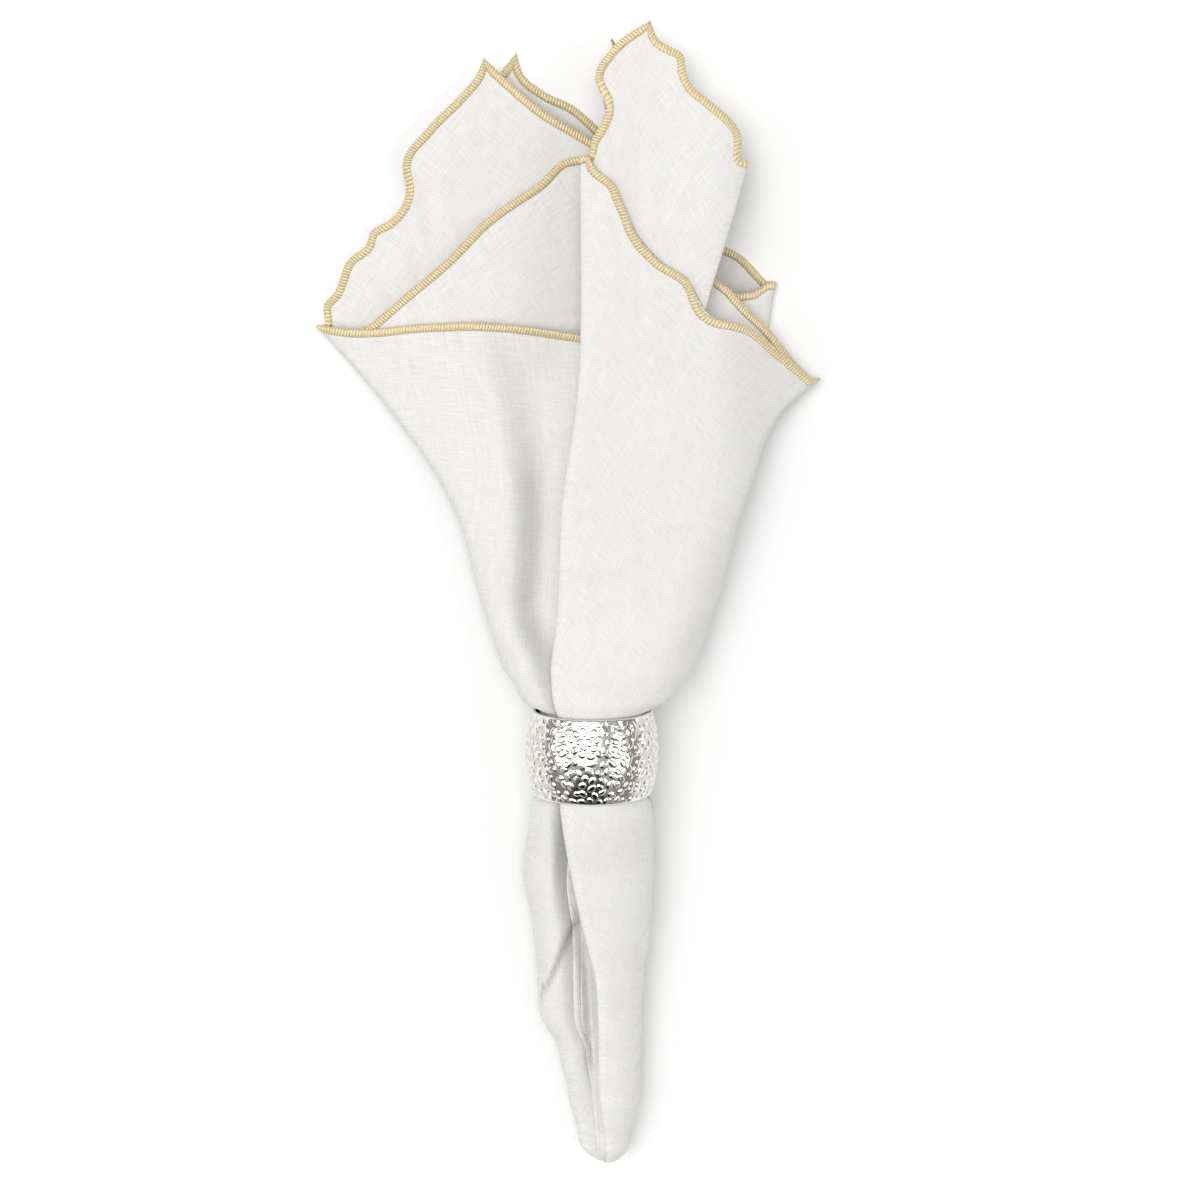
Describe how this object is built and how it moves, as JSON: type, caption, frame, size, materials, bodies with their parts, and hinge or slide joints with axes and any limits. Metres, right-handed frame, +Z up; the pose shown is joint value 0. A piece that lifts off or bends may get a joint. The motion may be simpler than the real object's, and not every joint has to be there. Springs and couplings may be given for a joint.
{
  "type": "napkin in a ring",
  "caption": "Square cloth napkin with a wavy overlocked edge, drawn by its middle through a hammered metal napkin ring, lying flat with its corners fanned out.",
  "frame": {"origin": "on the table, at the flat spot under the middle of the ring", "axes": "+Z up from the table, +Y along the bundle from the tail towards the fanned corners, +X to the right seen from above"},
  "size_m": [0.1555, 0.3561, 0.0406],
  "materials": {
    "napkin": "matte plain-woven linen",
    "gold_edge": "metallic thread overlock",
    "napkin_ring": "polished hammered"
  },
  "bodies": {
    "root": {"napkin": "napkin", "gold_edge": "gold_edge", "napkin_ring": "napkin_ring"}
  },
  "joints": []
}
